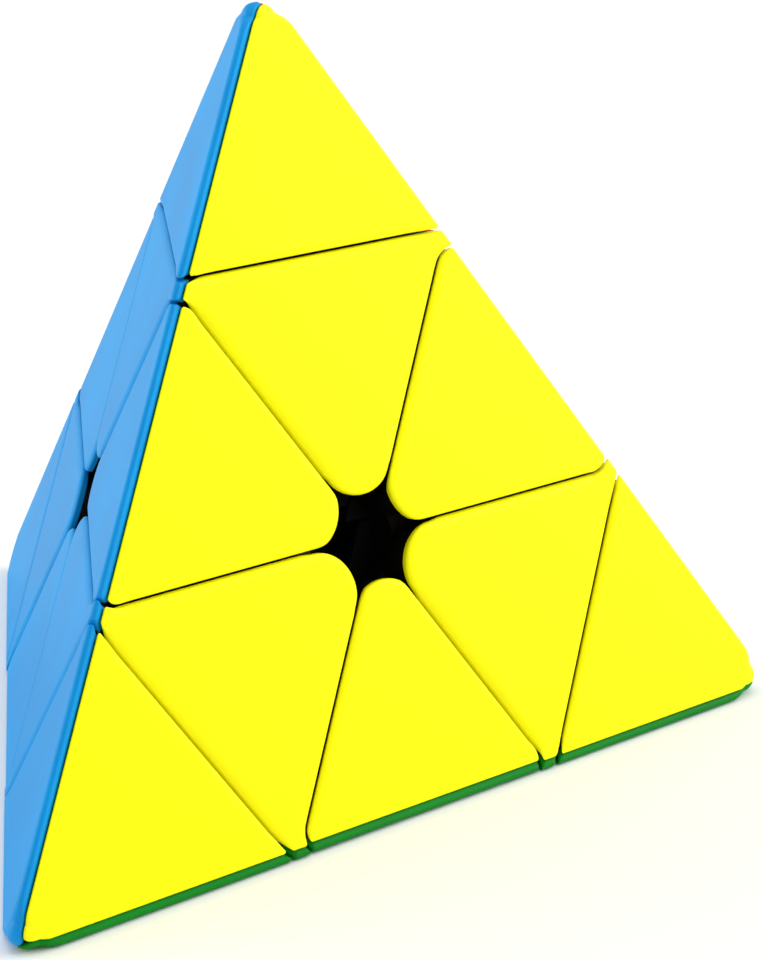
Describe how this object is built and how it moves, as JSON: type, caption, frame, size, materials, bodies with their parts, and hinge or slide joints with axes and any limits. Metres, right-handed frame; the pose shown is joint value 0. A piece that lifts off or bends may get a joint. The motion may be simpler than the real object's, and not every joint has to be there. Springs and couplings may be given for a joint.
{
  "type": "pyramid twisty puzzle",
  "caption": "Pyramid twisty puzzle: turning corner layers, free-spinning tips and trapped edge pieces in coloured caps over a dark core.",
  "frame": {"origin": "centre of the core, where the four turning axes meet", "axes": "+Z from the green face, on which it stands, up to the top corner; +X along the front edge to the right corner; the yellow face looks to -Y"},
  "size_m": [0.0952, 0.0832, 0.0782],
  "materials": {
    "yellow_plastic": "satin moulded",
    "blue_plastic": "satin moulded",
    "green_plastic": "satin moulded",
    "red_plastic": "satin moulded",
    "black_plastic": "satin moulded",
    "steel": "plated"
  },
  "bodies": {
    "core": {"core": "black_plastic", "axial_screw_top": "steel", "axial_screw_left": "steel", "axial_screw_right": "steel", "axial_screw_back": "steel", "axial_spring_top": "steel", "axial_spring_left": "steel", "axial_spring_right": "steel", "axial_spring_back": "steel"},
    "axial_top": {"axial_body_top": "black_plastic", "axial_cap_top_yellow": "yellow_plastic", "axial_cap_top_blue": "blue_plastic", "axial_cap_top_red": "red_plastic"},
    "axial_left": {"axial_body_left": "black_plastic", "axial_cap_left_yellow": "yellow_plastic", "axial_cap_left_blue": "blue_plastic", "axial_cap_left_green": "green_plastic"},
    "axial_right": {"axial_body_right": "black_plastic", "axial_cap_right_yellow": "yellow_plastic", "axial_cap_right_green": "green_plastic", "axial_cap_right_red": "red_plastic"},
    "axial_back": {"axial_body_back": "black_plastic", "axial_cap_back_blue": "blue_plastic", "axial_cap_back_green": "green_plastic", "axial_cap_back_red": "red_plastic"},
    "tip_top": {"tip_base_top": "black_plastic", "tip_cap_top_yellow": "yellow_plastic", "tip_cap_top_blue": "blue_plastic", "tip_cap_top_red": "red_plastic"},
    "tip_left": {"tip_base_left": "black_plastic", "tip_cap_left_yellow": "yellow_plastic", "tip_cap_left_blue": "blue_plastic", "tip_cap_left_green": "green_plastic"},
    "tip_right": {"tip_base_right": "black_plastic", "tip_cap_right_yellow": "yellow_plastic", "tip_cap_right_green": "green_plastic", "tip_cap_right_red": "red_plastic"},
    "tip_back": {"tip_base_back": "black_plastic", "tip_cap_back_blue": "blue_plastic", "tip_cap_back_green": "green_plastic", "tip_cap_back_red": "red_plastic"},
    "edge_top_left": {"edge_body_top_left": "black_plastic", "edge_cap_top_left_yellow": "yellow_plastic", "edge_cap_top_left_blue": "blue_plastic"},
    "edge_top_right": {"edge_body_top_right": "black_plastic", "edge_cap_top_right_yellow": "yellow_plastic", "edge_cap_top_right_red": "red_plastic"},
    "edge_top_back": {"edge_body_top_back": "black_plastic", "edge_cap_top_back_blue": "blue_plastic", "edge_cap_top_back_red": "red_plastic"},
    "edge_left_right": {"edge_body_left_right": "black_plastic", "edge_cap_left_right_yellow": "yellow_plastic", "edge_cap_left_right_green": "green_plastic"},
    "edge_left_back": {"edge_body_left_back": "black_plastic", "edge_cap_left_back_blue": "blue_plastic", "edge_cap_left_back_green": "green_plastic"},
    "edge_right_back": {"edge_body_right_back": "black_plastic", "edge_cap_right_back_green": "green_plastic", "edge_cap_right_back_red": "red_plastic"}
  },
  "joints": [
    {"name": "layer_top", "type": "hinge", "parent": "core", "child": "axial_top", "pos_m": [0, 0, 0], "axis": [0, 0, 1], "range_deg": [0, 120]},
    {"name": "layer_left", "type": "hinge", "parent": "core", "child": "axial_left", "pos_m": [0, 0, 0], "axis": [-0.8165, -0.4714, -0.3333], "range_deg": [0, 120]},
    {"name": "layer_right", "type": "hinge", "parent": "core", "child": "axial_right", "pos_m": [0, 0, 0], "axis": [0.8165, -0.4714, -0.3333], "range_deg": [0, 120]},
    {"name": "layer_back", "type": "hinge", "parent": "core", "child": "axial_back", "pos_m": [0, 0, 0], "axis": [0, 0.9428, -0.3333], "range_deg": [0, 120]},
    {"name": "tip_top_spin", "type": "hinge", "parent": "axial_top", "child": "tip_top", "pos_m": [0, 0, 0.03402], "axis": [0, 0, 1], "continuous": true},
    {"name": "tip_left_spin", "type": "hinge", "parent": "axial_left", "child": "tip_left", "pos_m": [-0.02778, -0.01604, -0.01134], "axis": [-0.8165, -0.4714, -0.3333], "continuous": true},
    {"name": "tip_right_spin", "type": "hinge", "parent": "axial_right", "child": "tip_right", "pos_m": [0.02778, -0.01604, -0.01134], "axis": [0.8165, -0.4714, -0.3333], "continuous": true},
    {"name": "tip_back_spin", "type": "hinge", "parent": "axial_back", "child": "tip_back", "pos_m": [0, 0.03208, -0.01134], "axis": [0, 0.9428, -0.3333], "continuous": true},
    {"name": "edge_top_left_follow", "type": "hinge", "parent": "axial_top", "child": "edge_top_left", "pos_m": [0, 0, 0], "axis": [-0.8165, -0.4714, -0.3333], "range_deg": [0, 120]},
    {"name": "edge_top_right_follow", "type": "hinge", "parent": "axial_top", "child": "edge_top_right", "pos_m": [0, 0, 0], "axis": [0.8165, -0.4714, -0.3333], "range_deg": [0, 120]},
    {"name": "edge_top_back_follow", "type": "hinge", "parent": "axial_top", "child": "edge_top_back", "pos_m": [0, 0, 0], "axis": [0, 0.9428, -0.3333], "range_deg": [0, 120]},
    {"name": "edge_left_right_follow", "type": "hinge", "parent": "axial_left", "child": "edge_left_right", "pos_m": [0, 0, 0], "axis": [0.8165, -0.4714, -0.3333], "range_deg": [0, 120]},
    {"name": "edge_left_back_follow", "type": "hinge", "parent": "axial_back", "child": "edge_left_back", "pos_m": [0, 0, 0], "axis": [-0.8165, -0.4714, -0.3333], "range_deg": [0, 120]},
    {"name": "edge_right_back_follow", "type": "hinge", "parent": "axial_right", "child": "edge_right_back", "pos_m": [0, 0, 0], "axis": [0, 0.9428, -0.3333], "range_deg": [0, 120]}
  ],
  "couplings": [
    {"joint": "edge_top_left_follow", "follows": "layer_left", "ratio": 1},
    {"joint": "edge_top_right_follow", "follows": "layer_right", "ratio": 1},
    {"joint": "edge_top_back_follow", "follows": "layer_back", "ratio": 1},
    {"joint": "edge_left_right_follow", "follows": "layer_right", "ratio": 1},
    {"joint": "edge_left_back_follow", "follows": "layer_left", "ratio": 1},
    {"joint": "edge_right_back_follow", "follows": "layer_back", "ratio": 1}
  ]
}
